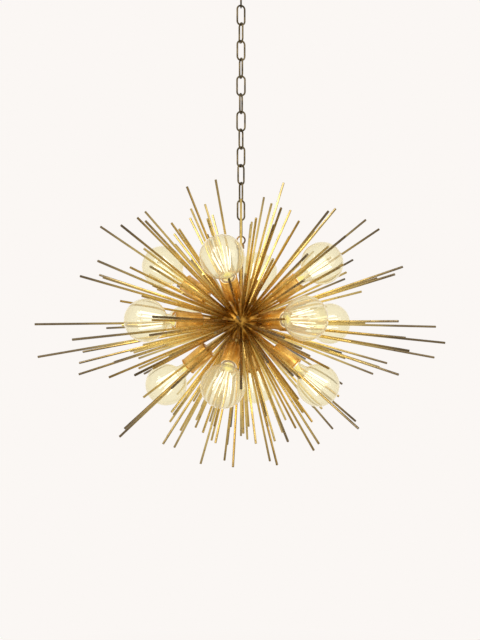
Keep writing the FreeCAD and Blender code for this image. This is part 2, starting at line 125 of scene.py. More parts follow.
def tarnish_of(tree, vector, cloud_scale, speck_scale, grain_scale):
    """The tarnish masks for one material."""
    return add_node(tree, "ShaderNodeGroup", {
        "Vector": vector, "Cloud Scale": cloud_scale, "Speck Scale": speck_scale,
        "Grain Scale": grain_scale}, node_tree=TARNISH).outputs


def zinc_material():
    """Zinc plate: blue-grey, cloudy, with a bright fleck and a fine rolled grain."""
    material, tree, shader = new_material("zinc")
    place = add_node(tree, "ShaderNodeTexCoord").outputs["Object"]
    masks = tarnish_of(tree, place, 90.0, 700.0, (500.0, 500.0, 2200.0))
    cloudy = mix_colours(tree, masks["Clouds"], (0.44, 0.46, 0.48, 1), (0.66, 0.67, 0.68, 1))
    flecked = mix_colours(tree, masks["Specks"], cloudy, (0.80, 0.81, 0.80, 1))
    tree.links.new(flecked, shader.inputs["Base Color"])
    tree.links.new(spread_values(tree, masks["Clouds"], 0, 1, 0.30, 0.48), shader.inputs["Roughness"])
    bump = add_node(tree, "ShaderNodeBump", {"Strength": 0.35, "Distance": 0.0003, "Height": masks["Grain"]})
    tree.links.new(bump.outputs[0], shader.inputs["Normal"])
    shader.inputs["Metallic"].default_value = 1.0
    return material


def dress(node, material):
    """Give a solid that keeps its mesh its own finish."""
    mesh = nodes[node].data
    mesh.materials.clear()
    mesh.materials.append(material)


ZINC = zinc_material()
for steel_piece in ("mounting_strap", "threaded_nipple", "strap_nut"):
    dress(steel_piece, ZINC)


# ---------------------------------------------------------------------------------------
# Canopy, lock ring and canopy loop: brass, spun or turned and then darkened to an antique
# tone. The canopy is a spun dish with a rolled shoulder; the ring under it is knurled, and
# the loop's collar is turned from bar, with its ring brazed on.
# ---------------------------------------------------------------------------------------
def make_piece(name, points, faces, material, body, stands_for=(), slot=None, smooth_angle=35):
    """A mesh piece from points and faces, closed at its seams, shaded, dressed and ridden."""
    mesh = bpy.data.meshes.new(name)
    mesh.from_pydata(np.asarray(points, float).tolist(), [], np.asarray(faces).tolist())
    shell = bmesh.new()
    shell.from_mesh(mesh)
    bmesh.ops.remove_doubles(shell, verts=shell.verts, dist=1e-6)
    bmesh.ops.dissolve_degenerate(shell, edges=shell.edges, dist=1e-7)
    bmesh.ops.recalc_face_normals(shell, faces=shell.faces)
    shell.to_mesh(mesh)
    shell.free()
    mesh.shade_smooth()
    mesh.set_sharp_from_angle(angle=math.radians(smooth_angle))
    mesh.materials.append(material)
    piece = bpy.data.objects.new(name, mesh)
    bpy.context.scene.collection.objects.link(piece)
    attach(piece, body)
    if stands_for:
        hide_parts(*stands_for)
    return piece


def grid_faces(rows, columns, wrap_rows=False):
    """The quads of a grid whose columns close on themselves, and its rows too if asked."""
    last = rows if wrap_rows else rows - 1
    row, column = np.meshgrid(np.arange(last), np.arange(columns), indexing="ij")
    below = (row + 1) % rows
    beside = (column + 1) % columns
    corners = (row * columns + column, row * columns + beside,
               below * columns + beside, below * columns + column)
    return np.stack([corner.ravel() for corner in corners], -1)


def eased(corners, ease, steps=3):
    """A closed outline with each corner cut by a small parabola of the given reach.

    At each corner the curve is (1-t)^2 A + 2 t (1-t) B + t^2 C, where B is the corner and
    A and C lie on its two sides, no further away than a third of the side.
    """
    corners = np.asarray(corners, float)
    before = np.roll(corners, 1, axis=0) - corners
    after = np.roll(corners, -1, axis=0) - corners
    length_before = np.linalg.norm(before, axis=1, keepdims=True)
    length_after = np.linalg.norm(after, axis=1, keepdims=True)
    start = corners + before / length_before * np.minimum(ease, length_before / 3)
    end = corners + after / length_after * np.minimum(ease, length_after / 3)
    t = np.linspace(0, 1, steps + 1)[None, :, None]
    curve = (1 - t) ** 2 * start[:, None] + 2 * t * (1 - t) * corners[:, None] + t ** 2 * end[:, None]
    return curve.reshape(-1, 2)


def turned(outline, segments=64):
    """A surface of revolution: each outline point (r, h) goes round as (r cos a, r sin a, h)."""
    outline = np.asarray(outline, float)
    angle = np.arange(segments) * 2 * np.pi / segments
    radius = np.clip(outline[:, 0], 0, None)[:, None]
    points = np.stack([radius * np.cos(angle), radius * np.sin(angle),
                       np.repeat(outline[:, 1:2], segments, axis=1)], -1)
    return points.reshape(-1, 3), grid_faces(len(outline), segments, wrap_rows=True)


def ring_of_wire(radius, wire, segments=48, around=14):
    """A torus about Y: the wire's circle goes round the ring's circle in the XZ plane."""
    ring = np.arange(segments)[:, None] * 2 * np.pi / segments
    tube = np.arange(around)[None, :] * 2 * np.pi / around
    reach = radius + wire * np.cos(tube)
    points = np.stack([reach * np.cos(ring), -wire * np.sin(tube) + 0 * ring, reach * np.sin(ring)], -1)
    return points.reshape(-1, 3), grid_faces(segments, around, wrap_rows=True)


def joined(*surfaces):
    """Several surfaces as one list of points and one of faces."""
    points = np.concatenate([surface[0] for surface in surfaces])
    starts = np.cumsum([0] + [len(surface[0]) for surface in surfaces[:-1]])
    return points, np.concatenate([surface[1] + start for surface, start in zip(surfaces, starts)])


def aged_brass_material(name, grain_scale, gold=(0.44, 0.27, 0.105, 1), dark=(0.12, 0.07, 0.03, 1)):
    """Antique brass: a warm satin metal, browned in clouds and specks and brushed one way."""
    material, tree, shader = new_material(name)
    place = add_node(tree, "ShaderNodeTexCoord").outputs["Object"]
    masks = tarnish_of(tree, place, 70.0, 900.0, grain_scale)
    cloudy = mix_colours(tree, masks["Clouds"], dark, gold)
    specked = mix_colours(tree, masks["Specks"], cloudy, dark)
    tree.links.new(specked, shader.inputs["Base Color"])
    tree.links.new(spread_values(tree, masks["Clouds"], 0, 1, 0.42, 0.27), shader.inputs["Roughness"])
    bump = add_node(tree, "ShaderNodeBump", {"Strength": 0.3, "Distance": 0.0002, "Height": masks["Grain"]})
    tree.links.new(bump.outputs[0], shader.inputs["Normal"])
    shader.inputs["Metallic"].default_value = 1.0
    return material


canopy_low, canopy_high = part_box("canopy")
canopy_radius = float(canopy_high[0])
canopy_depth = -float(canopy_low[2])
canopy_wall = 0.0012
canopy_shoulder = 0.015
canopy_hole = 0.0048
SPUN_BRASS = aged_brass_material("spun_brass", (260.0, 260.0, 2600.0))


def canopy_outline():
    """The dish in section: rim, quarter-round shoulder and flat floor, outside and inside."""
    quarter = np.linspace(0, np.pi / 2, 14)
    centre = np.array([canopy_radius - canopy_shoulder, canopy_shoulder - canopy_depth])
    inner = canopy_shoulder - canopy_wall
    outside = centre + canopy_shoulder * np.stack([np.cos(quarter), -np.sin(quarter)], -1)
    inside = centre + inner * np.stack([np.cos(quarter), -np.sin(quarter)], -1)
    edge = 0.0002
    rim = [(canopy_radius - canopy_wall, -edge), (canopy_radius - canopy_wall + edge, 0.0),
           (canopy_radius - edge, 0.0), (canopy_radius, -edge)]
    floor = [(canopy_hole, -canopy_depth), (canopy_hole, canopy_wall - canopy_depth)]
    return np.concatenate([rim, outside, floor, inside[::-1]])


canopy_points, canopy_faces = turned(canopy_outline(), 96)
make_piece("canopy_dish", canopy_points, canopy_faces, SPUN_BRASS, "canopy_set",
           ["canopy"], "aged_brass", smooth_angle=50)

ring_low, ring_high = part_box("canopy_lock_ring")
loop_low, loop_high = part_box("canopy_loop")
TURNED_BRASS = aged_brass_material("turned_brass", (400.0, 400.0, 3600.0))
ring_radius = float(ring_high[0])
ring_top = -canopy_depth
ring_foot = float(ring_low[2])
knurls = 40


def knurled_ring():
    """The lock ring: a turned collar whose side is r(a) = r0 - depth (1 - cos(n a)) / 2."""
    step = 0.001
    outline = eased([(canopy_hole, ring_top), (ring_radius, ring_top), (ring_radius, ring_foot + step),
                     (ring_radius - step, ring_foot), (canopy_hole, ring_foot)], 0.0003)
    points, faces = turned(outline, knurls * 4)
    angle = np.arctan2(points[:, 1], points[:, 0])
    radius = np.hypot(points[:, 0], points[:, 1])
    cut = 0.00035 * (1 - np.cos(knurls * angle)) / 2
    shrink = np.where(radius > ring_radius - step / 2, 1 - cut / radius, 1)
    points[:, :2] *= shrink[:, None]
    return points, faces


knurled_points, knurled_faces = knurled_ring()
make_piece("lock_ring", knurled_points, knurled_faces, TURNED_BRASS, "canopy_set",
           ["canopy_lock_ring"], "aged_brass", smooth_angle=50)

eye_radius = 0.009
eye_wire = 0.0018
collar_radius = 0.0075
collar_chamfer = 0.0015


def collar_with_eye(top, foot, eye_height, eye_above):
    """A turned collar, with its chamfer on the eye's side, and a ring of wire about Y."""
    chamfer_end, plain_end = (top, foot) if eye_above else (foot, top)
    inward = 1 if eye_above else -1
    outline = eased([(0.0, plain_end), (collar_radius, plain_end),
                     (collar_radius, chamfer_end - inward * collar_chamfer),
                     (collar_radius - collar_chamfer, chamfer_end), (0.0, chamfer_end)], 0.0003)
    ring_points, ring_faces = ring_of_wire(eye_radius, eye_wire)
    return joined(turned(outline, 48), (ring_points + (0, 0, eye_height), ring_faces))


eye_low = float(loop_low[2]) + eye_wire + eye_radius
loop_points, loop_faces = collar_with_eye(float(loop_high[2]), eye_low + eye_radius, eye_low, False)
loop_points = loop_points[:, [1, 0, 2]]
make_piece("canopy_eye", loop_points, loop_faces, TURNED_BRASS, "canopy_set",
           ["canopy_loop"], "aged_brass")


# ---------------------------------------------------------------------------------------
# Chain: fifteen links of 4.1 mm brass wire, each bent round and closed with a butt joint on
# one long side, so that a hairline slit shows there. Darkened like the canopy.
# ---------------------------------------------------------------------------------------
link_wire = 0.00205
link_slit = 0.0004
cut_reach = 0.00015
cut_share = 0.82
link_width = 0.022
LINK_BRASS = aged_brass_material("link_brass", (900.0, 900.0, 900.0),
                                 (0.185, 0.142, 0.074, 1), (0.055, 0.044, 0.022, 1))


def wire_link(length, width):
    """A bent wire: a circle carried along two straights and two half rounds, in the XZ plane.

    The path starts and ends at the slit in the middle of one straight; with s the way along
    it, its frame is (tangent, normal in the plane, Y).
    """
    bend = width / 2 - link_wire
    half = (length - width) / 2
    turn = np.linspace(0, np.pi, 15)
    slit = link_slit / 2
    upper = np.stack([bend * np.cos(turn), half + bend * np.sin(turn)], -1)
    lower = -upper
    first = np.stack([np.full(4, bend), np.linspace(slit, half, 5)[:-1]], -1)
    second = np.array([(-bend, half / 3), (-bend, -half / 3)])
    last = np.stack([np.full(4, bend), np.linspace(-half, -slit, 5)[1:]], -1)
    path = np.concatenate([first, upper, second, lower, last])
    tangent = np.gradient(path, axis=0)
    tangent[0] = tangent[-1] = (0.0, 1.0)
    tangent /= np.linalg.norm(tangent, axis=1, keepdims=True)
    normal = np.stack([tangent[:, 1], -tangent[:, 0]], -1)
    angle = np.arange(14) * 2 * np.pi / 14
    ease = np.ones(len(path))
    path = np.concatenate([path[:1], path[:1], path, path[-1:], path[-1:]])
    normal = np.concatenate([normal[:1], normal[:1], normal, normal[-1:], normal[-1:]])
    ease = np.concatenate([[0.0, cut_share], ease, [cut_share, 0.0]])
    path[2, 1] += cut_reach
    path[-3, 1] -= cut_reach
    around = link_wire * ease[:, None]
    across = path[:, None, 0] + around * np.cos(angle) * normal[:, None, 0]
    upright = path[:, None, 1] + around * np.cos(angle) * normal[:, None, 1]
    deep = around * np.sin(angle)
    points = np.stack([across, deep, upright], -1).reshape(-1, 3)
    return points, grid_faces(len(path), len(angle))


def link_turn(number):
    """How far a link's plane is turned about the vertical: the next joint lies along its wire."""
    following = f"swing_{number + 1:02d}" if number < 15 else "starburst_swing"
    axis = joints[following]["axis"]
    return math.atan2(axis[1], axis[0])


def turned_about_z(points, angle):
    """The points turned about the vertical."""
    cosine, sine = math.cos(angle), math.sin(angle)
    return points @ np.array([[cosine, sine, 0], [-sine, cosine, 0], [0, 0, 1]])


for link_number in range(1, 16):
    link_node = f"chain_link_{link_number:02d}"
    link_low, link_high = (np.array(corner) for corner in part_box(link_node))
    link_points, link_faces = wire_link(float(link_high[2] - link_low[2]), link_width)
    link_points = turned_about_z(link_points, link_turn(link_number))
    link_points = link_points + (0, 0, float(link_low[2] + link_high[2]) / 2)
    make_piece(f"wire_link_{link_number:02d}", link_points, link_faces, LINK_BRASS,
               f"link_{link_number:02d}", [link_node], "aged_brass", smooth_angle=50)


# ---------------------------------------------------------------------------------------
# Stem and stem loop: a short brass tube screwed into the ball, and on top of it the same
# collar and ring as under the canopy, which the last link carries.
# ---------------------------------------------------------------------------------------
stem_low, stem_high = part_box("stem")
stem_loop_low, stem_loop_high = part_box("stem_loop")
hub_low, hub_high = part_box("hub")
ball_radius = float(hub_high[0] - hub_low[0]) / 2
ball_centre = np.array([0.0, 0.0, float(hub_low[2]) + ball_radius])
stem_radius = float(stem_high[0])
stem_bore = 0.0032
stem_outline = eased([(stem_bore, float(stem_low[2])), (stem_radius, float(stem_low[2])),
                      (stem_radius, float(stem_high[2])), (stem_bore, float(stem_high[2]))], 0.0003)
stem_points, stem_faces = turned(stem_outline, 40)
make_piece("stem_tube", stem_points, stem_faces, TURNED_BRASS, "starburst", ["stem"], "aged_brass")

stem_eye = float(stem_loop_high[2]) - eye_wire - eye_radius
stem_eye_points, stem_eye_faces = collar_with_eye(
    stem_eye - eye_radius, float(stem_loop_low[2]), stem_eye, True)
make_piece("stem_eye", stem_eye_points, stem_eye_faces, TURNED_BRASS, "starburst",
           ["stem_loop"], "aged_brass")


# ---------------------------------------------------------------------------------------
# Ball: a turned and drilled brass ball, browned deeply where the rods crowd together, partly
# patina and partly painted shade of the crowded rods. Its solid keeps its mesh, with a seat
# under every rod and arm.
# ---------------------------------------------------------------------------------------
def ball_material():
    """Deeply browned brass, paler in slow clouds; the deep brown is partly patina and partly painted shade.
    """
    material, tree, shader = new_material("ball_brass")
    place = add_node(tree, "ShaderNodeTexCoord").outputs["Object"]
    masks = tarnish_of(tree, place, 60.0, 800.0, (500.0, 500.0, 2400.0))
    # Painted shade, partly patina: the whole ball is a deep brown, standing for the shade among the crowded
    # rods.
    cloudy = mix_colours(tree, masks["Clouds"], (0.24, 0.11, 0.015, 1), (0.60, 0.33, 0.06, 1))
    specked = mix_colours(tree, masks["Specks"], cloudy, (0.08, 0.04, 0.015, 1))
    tree.links.new(specked, shader.inputs["Base Color"])
    tree.links.new(spread_values(tree, masks["Clouds"], 0, 1, 0.45, 0.30), shader.inputs["Roughness"])
    bump = add_node(tree, "ShaderNodeBump", {"Strength": 0.25, "Distance": 0.0002, "Height": masks["Grain"]})
    tree.links.new(bump.outputs[0], shader.inputs["Normal"])
    shader.inputs["Metallic"].default_value = 1.0
    return material


dress("hub", ball_material())


# ---------------------------------------------------------------------------------------
# Rods: drawn brass rod, cut square, eased at the tip and pressed into the ball. The satin
# gold of the middle turns brown towards the ball and grey-brown towards the tips; both ends
# are partly patina and partly painted shade, standing in for the lamps lighting the middles.
# ---------------------------------------------------------------------------------------
rod_radius = 0.0026
rod_sides = 10
rod_ease = 0.0005
seat_depth = 0.003


def headings_of(node):
    """The directions of a node's rods from the ball's middle: the mean of each tip's corners.

    Corners within a degree and a half of each other belong to one tip.
    """
    mesh = nodes[node].data
    corners = np.empty(len(mesh.vertices) * 3)
    mesh.vertices.foreach_get("co", corners)
    arms = np.unique(corners.reshape(-1, 3).round(6), axis=0) - ball_centre
    length = np.linalg.norm(arms, axis=1)
    tips = arms[length > length.max() - 0.001]
    units = tips / np.linalg.norm(tips, axis=1, keepdims=True)
    first = (units @ units.T > math.cos(math.radians(1.5))).argmax(axis=1)
    owners, member = np.unique(first, return_inverse=True)
    sums = np.zeros((len(owners), 3))
    np.add.at(sums, member.ravel(), units)
    headings = sums / np.linalg.norm(sums, axis=1, keepdims=True)
    return headings, float((tips @ headings.T).max())


def across(headings):
    """Two unit vectors square to each heading and to each other."""
    helper = np.where(np.abs(headings[:, 2:3]) > 0.9, np.array([[1.0, 0, 0]]), np.array([[0, 0, 1.0]]))
    side = np.cross(helper, headings)
    side /= np.linalg.norm(side, axis=1, keepdims=True)
    return side, np.cross(headings, side)


def bundle(headings, outline, sides):
    """One turned outline of (radius, distance) carried along every heading at once."""
    side, other = across(headings)
    outline = np.asarray(outline, float)
    angle = np.arange(sides) * 2 * np.pi / sides
    round_part = (side[:, None, None] * np.cos(angle)[:, None]
                  + other[:, None, None] * np.sin(angle)[:, None])
    points = (headings[:, None, None] * outline[None, :, None, 1:2]
              + round_part * outline[None, :, None, 0:1]) + ball_centre
    faces = grid_faces(len(outline), sides, wrap_rows=True)
    starts = np.arange(len(headings))[:, None, None] * len(outline) * sides
    return points.reshape(-1, 3), (faces[None] + starts).reshape(-1, 4)


def rod_material():
    """Satin brass rod: gold; browned near the ball, grey-brown and duller near the tips, both partly patina
    and partly painted shade.
    """
    material, tree, shader = new_material("rod_brass")
    place = add_node(tree, "ShaderNodeTexCoord").outputs["Object"]
    arm = add_node(tree, "ShaderNodeVectorMath", {0: place, 1: tuple(ball_centre)}, operation="SUBTRACT")
    reach = add_node(tree, "ShaderNodeVectorMath", {0: arm.outputs[0]}, operation="LENGTH").outputs["Value"]
    masks = tarnish_of(tree, place, 30.0, 260.0, (300.0, 300.0, 300.0))
    # The per-rod tone is partly each rod's own random tone; near the ball its wide spread is also painted
    # light and shade, with some rods lit and some shaded.
    tone = add_node(tree, "ShaderNodeAttribute", attribute_name="rod_tone_and_shade").outputs["Fac"]
    gold = mix_colours(tree, tone, (0.62, 0.38, 0.068, 1), (1.0, 0.77, 0.26, 1))
    # Painted shade near the ball, partly patina: the browns there are darker than the gold middle, which
    # stands for where the lamps light the rods.
    near = spread_values(tree, reach, 0.045, 0.15)
    browned = mix_colours(tree, tone, (0.26, 0.145, 0.012, 1), (0.86, 0.60, 0.19, 1))
    warm = mix_colours(tree, near, browned, gold)
    # Painted shade towards the tips, partly patina: a darker grey-brown away from the lamps.
    far = spread_values(tree, reach, 0.20, 0.36)
    greyed_and_shaded = mix_colours(tree, tone, (0.085, 0.066, 0.036, 1), (0.24, 0.185, 0.105, 1))
    patina_and_shade = mix_colours(tree, far, warm, greyed_and_shaded)
    stained = spread_values(tree, masks["Clouds"], 0, 1, 0.30, 0.0)
    clouded = mix_colours(tree, stained, patina_and_shade, (0.12, 0.075, 0.03, 1))
    specked = mix_colours(tree, masks["Specks"], clouded, (0.10, 0.06, 0.03, 1))
    tree.links.new(specked, shader.inputs["Base Color"])
    tree.links.new(spread_values(tree, masks["Clouds"], 0, 1, 0.34, 0.20), shader.inputs["Roughness"])
    bump = add_node(tree, "ShaderNodeBump", {"Strength": 0.1, "Distance": 0.0002, "Height": masks["Grain"]})
    tree.links.new(bump.outputs[0], shader.inputs["Normal"])
    shader.inputs["Metallic"].default_value = 1.0
    return material


ROD_BRASS = rod_material()
rod_seat = ball_radius - seat_depth
tone_source = np.random.default_rng(7)
for rod_node in ("rods_long", "rods_middle", "rods_short", "rods_stub"):
    rod_headings, rod_reach = headings_of(rod_node)
    rod_outline = [(0.0, rod_seat), (rod_radius, rod_seat), (rod_radius, rod_reach - rod_ease),
                   (rod_radius - rod_ease, rod_reach), (0.0, rod_reach)]
    rod_points, rod_faces = bundle(rod_headings, rod_outline, rod_sides)
    rod_piece = make_piece(rod_node + "_drawn", rod_points, rod_faces, ROD_BRASS, "starburst",
                           [rod_node], "satin_brass")
    rod_mesh = rod_piece.data
    places = np.empty(len(rod_mesh.vertices) * 3)
    rod_mesh.vertices.foreach_get("co", places)
    owner = ((places.reshape(-1, 3) - ball_centre) @ rod_headings.T).argmax(axis=1)
    tones = tone_source.uniform(0, 1, len(rod_headings))[owner]
    rod_mesh.attributes.new("rod_tone_and_shade", "FLOAT", "POINT").data.foreach_set("value", tones)


# ---------------------------------------------------------------------------------------
# Arms and socket cups: a brass tube from the ball to each lamp holder, and the spun cup
# that hides the socket, with a rolled lip at its mouth.
# ---------------------------------------------------------------------------------------
lamp_axes = np.array([joints[f"lamp_{number:02d}_out"]["axis"] for number in range(1, 13)])


def along_lamps(node):
    """Each corner of a node as (distance along the nearest lamp axis, distance from it)."""
    mesh = nodes[node].data
    corners = np.empty(len(mesh.vertices) * 3)
    mesh.vertices.foreach_get("co", corners)
    arms = corners.reshape(-1, 3) - ball_centre
    along = (arms @ lamp_axes.T).max(axis=1)
    off = np.sqrt(np.clip((arms ** 2).sum(axis=1) - along ** 2, 0, None))
    return along, off


def cup_material():
    """Satin brass of cups and arms: warm gold with fine brushing and slight browning."""
    material, tree, shader = new_material("cup_brass")
    place = add_node(tree, "ShaderNodeTexCoord").outputs["Object"]
    masks = tarnish_of(tree, place, 45.0, 800.0, (700.0, 700.0, 700.0))
    cloudy = mix_colours(tree, masks["Clouds"], (0.60, 0.31, 0.06, 1), (0.95, 0.60, 0.17, 1))
    specked = mix_colours(tree, masks["Specks"], cloudy, (0.20, 0.11, 0.04, 1))
    tree.links.new(specked, shader.inputs["Base Color"])
    tree.links.new(spread_values(tree, masks["Clouds"], 0, 1, 0.36, 0.22), shader.inputs["Roughness"])
    bump = add_node(tree, "ShaderNodeBump", {"Strength": 0.2, "Distance": 0.0002, "Height": masks["Grain"]})
    tree.links.new(bump.outputs[0], shader.inputs["Normal"])
    shader.inputs["Metallic"].default_value = 1.0
    return material


CUP_BRASS = cup_material()
arm_along, arm_off = along_lamps("lamp_arms")
arm_radius = float(arm_off.max())
arm_outline = eased([(0.0, float(arm_along.min())), (arm_radius, float(arm_along.min())),
                     (arm_radius, float(arm_along.max())), (0.0, float(arm_along.max()))], 0.0002, 2)
arm_points, arm_faces = bundle(lamp_axes, arm_outline, 28)
make_piece("arm_tubes", arm_points, arm_faces, CUP_BRASS, "starburst", ["lamp_arms"], "satin_brass")

cup_along, cup_off = along_lamps("socket_cups")
cup_foot, cup_mouth = float(cup_along.min()), float(cup_along.max())
lip_radius = float(cup_off.max())
cup_radius = 0.0195
cup_wall = 0.0012
cup_round = 0.0025
lip_height = 0.003


def cup_outline():
    """The cup in section: round foot, straight side, rolled lip, and the same wall inside."""
    quarter = np.linspace(-np.pi / 2, 0, 8)
    foot = np.stack([cup_radius - cup_round + cup_round * np.cos(quarter),
                     cup_foot + cup_round + cup_round * np.sin(quarter)], -1)
    half = np.linspace(-np.pi / 2, np.pi / 2, 10)
    roll = lip_height / 2
    lip = np.stack([lip_radius - roll * 0.8 + roll * 0.8 * np.cos(half),
                    cup_mouth - roll + roll * np.sin(half)], -1)
    side = [(cup_radius, cup_mouth - lip_height - 0.0004)]
    inside = [(cup_radius - cup_wall + 0.0003, cup_mouth), (cup_radius - cup_wall, cup_mouth - 0.0003),
              (cup_radius - cup_wall, cup_foot + cup_wall), (arm_radius, cup_foot + cup_wall),
              (arm_radius, cup_foot)]
    return np.concatenate([foot, side, lip, inside])


cup_points, cup_faces = bundle(lamp_axes, cup_outline(), 56)
make_piece("cup_shells", cup_points, cup_faces, CUP_BRASS, "starburst", ["socket_cups"], "satin_brass",
           smooth_angle=45)


# ---------------------------------------------------------------------------------------
# Sockets: an unglazed porcelain body in each cup, a rolled brass screw shell in its bore,
# and a sprung contact at the bottom. They show where a lamp is out.
# ---------------------------------------------------------------------------------------
def porcelain_material():
    """Unglazed porcelain: warm white, faintly mottled, with a faint painted glow for the lamp's light through
    it.
    """
    material, tree, shader = new_material("porcelain")
    place = add_node(tree, "ShaderNodeTexCoord").outputs["Object"]
    masks = tarnish_of(tree, place, 80.0, 1500.0, (1800.0, 1800.0, 1800.0))
    mottled = mix_colours(tree, masks["Clouds"], (0.72, 0.69, 0.61, 1), (0.84, 0.82, 0.76, 1))
    specked = mix_colours(tree, masks["Specks"], mottled, (0.55, 0.50, 0.42, 1))
    tree.links.new(specked, shader.inputs["Base Color"])
    tree.links.new(spread_values(tree, masks["Clouds"], 0, 1, 0.62, 0.50), shader.inputs["Roughness"])
    bump = add_node(tree, "ShaderNodeBump", {"Strength": 0.3, "Distance": 0.0002, "Height": masks["Grain"]})
    tree.links.new(bump.outputs[0], shader.inputs["Normal"])
    # Painted glow: a faint warm emission stands for the lamp's light shining through the porcelain.
    shader.inputs["Emission Color"].default_value = (1.0, 0.93, 0.74, 1)
    shader.inputs["Emission Strength"].default_value = 0.35
    return material


def socket_metal_material():
    """Bright pressed brass of shell and contact, dulled in slow clouds."""
    material, tree, shader = new_material("socket_brass")
    place = add_node(tree, "ShaderNodeTexCoord").outputs["Object"]
    masks = tarnish_of(tree, place, 120.0, 1200.0, (1200.0, 1200.0, 1200.0))
    cloudy = mix_colours(tree, masks["Clouds"], (0.52, 0.37, 0.16, 1), (0.78, 0.62, 0.34, 1))
    tree.links.new(cloudy, shader.inputs["Base Color"])
    tree.links.new(spread_values(tree, masks["Clouds"], 0, 1, 0.34, 0.20), shader.inputs["Roughness"])
    bump = add_node(tree, "ShaderNodeBump", {"Strength": 0.2, "Distance": 0.0001, "Height": masks["Grain"]})
    tree.links.new(bump.outputs[0], shader.inputs["Normal"])
    shader.inputs["Metallic"].default_value = 1.0
    return material


SOCKET_BRASS = socket_metal_material()
dress("socket_insulators", porcelain_material())
dress("socket_contacts", SOCKET_BRASS)

thread_pitch = 0.00363
shell_along, shell_off = along_lamps("socket_shells")
shell_foot, shell_mouth = float(shell_along.min()), float(shell_along.max())
shell_radius = float(shell_off.max())


def thread_wave(angle, height, start, end, pitch):
    """A rolled thread from 0 to 1: (1 + cos(2 pi h / pitch - a)) / 2, fading out at both ends."""
    fade = np.clip(np.minimum(height - start, end - height) / pitch, 0, 1)
    return fade * (1 + np.cos(2 * np.pi * height / pitch - angle)) / 2


def threaded_bundle(headings, outline, sides, thread, depth, start, end):
    """A bundle whose radius is drawn in by the thread's wave where the outline says so."""
    side, other = across(headings)
    outline = np.asarray(outline, float)
    angle = np.arange(sides) * 2 * np.pi / sides
    wave = thread_wave(angle[None, :], outline[:, 1:2], start, end, thread_pitch)
    radius = outline[:, 0:1] - depth * thread[:, None] * wave
    round_part = (side[:, None, None] * np.cos(angle)[:, None]
                  + other[:, None, None] * np.sin(angle)[:, None])
    points = headings[:, None, None] * outline[None, :, None, 1:2] + round_part * radius[None, :, :, None]
    faces = grid_faces(len(outline), sides, wrap_rows=True)
    starts = np.arange(len(headings))[:, None, None] * len(outline) * sides
    return (points + ball_centre).reshape(-1, 3), (faces[None] + starts).reshape(-1, 4)


shell_rows = 60
shell_wall = 0.0003
shell_thread_depth = 0.0003
shell_heights = np.linspace(shell_foot, shell_mouth, shell_rows)
shell_outline = np.concatenate([
    np.stack([np.full(shell_rows, shell_radius), shell_heights], -1),
    np.stack([np.full(shell_rows, shell_radius - shell_wall), shell_heights[::-1]], -1)])
shell_points, shell_faces = threaded_bundle(
    lamp_axes, shell_outline, 40, np.ones(2 * shell_rows), shell_thread_depth, shell_foot, shell_mouth)
make_piece("screw_shells", shell_points, shell_faces, SOCKET_BRASS, "starburst", ["socket_shells"],
           "socket_metal", smooth_angle=60)


# ---------------------------------------------------------------------------------------
# Lamps: clear blown globes, each on a rolled screw cap with a dark glass heel and a
# soldered tip. Inside, a glass pillar holds a cage of warm white light strands on two
# wheels of wire spokes.
# ---------------------------------------------------------------------------------------
def globe_glass_material():
    """Clear blown glass with a faint painted glow of the strands' light, turning amber where it is seen edge
    on.

    Shadow and diffuse rays pass it straight, so that it lets the light in and out.
    """
    material, tree, shader = new_material("globe_glass")
    facing = add_node(tree, "ShaderNodeLayerWeight", {"Blend": 0.35}).outputs["Facing"]
    edge = spread_values(tree, facing, 0.25, 0.95)
    tint = mix_colours(tree, edge, (0.77, 0.75, 0.64, 1), (0.80, 0.71, 0.47, 1))
    tree.links.new(tint, shader.inputs["Base Color"])
    shader.inputs["Transmission Weight"].default_value = 1.0
    shader.inputs["Roughness"].default_value = 0.0
    shader.inputs["IOR"].default_value = 1.35
    # Painted glow: a faint warm emission, strongest face on, stands for the strands' light in the glass.
    shader.inputs["Emission Color"].default_value = (1.0, 0.90, 0.61, 1)
    tree.links.new(spread_values(tree, facing, 0.1, 0.85, 0.10, 0.03), shader.inputs["Emission Strength"])
    clear = add_node(tree, "ShaderNodeBsdfTransparent", {"Color": (1.0, 0.98, 0.92, 1)})
    path = add_node(tree, "ShaderNodeLightPath").outputs
    unseen = add_node(tree, "ShaderNodeMath", {0: path["Is Shadow Ray"], 1: path["Is Diffuse Ray"]},
                      operation="MAXIMUM")
    mixed = add_node(tree, "ShaderNodeMixShader",
                     {0: unseen.outputs[0], 1: shader.outputs[0], 2: clear.outputs[0]})
    output = next(item for item in tree.nodes if item.type == "OUTPUT_MATERIAL")
    tree.links.new(mixed.outputs[0], output.inputs[0])
    return material


def strand_material():
    """The glowing coat of a light strand, warm white and a little uneven along its length."""
    material, tree, shader = new_material("strand_glow")
    place = add_node(tree, "ShaderNodeTexCoord").outputs["Object"]
    noise = add_node(tree, "ShaderNodeTexNoise", {"Vector": place, "Scale": 250.0, "Detail": 2.0})
    even = spread_values(tree, noise.outputs[0], 0.3, 0.7)
    warm = mix_colours(tree, even, (0.90, 0.88, 0.78, 1), (1.0, 0.99, 0.92, 1))
    tree.links.new(warm, shader.inputs["Emission Color"])
    tree.links.new(warm, shader.inputs["Base Color"])
    shader.inputs["Emission Strength"].default_value = 1.15
    shader.inputs["Roughness"].default_value = 0.5
    return material


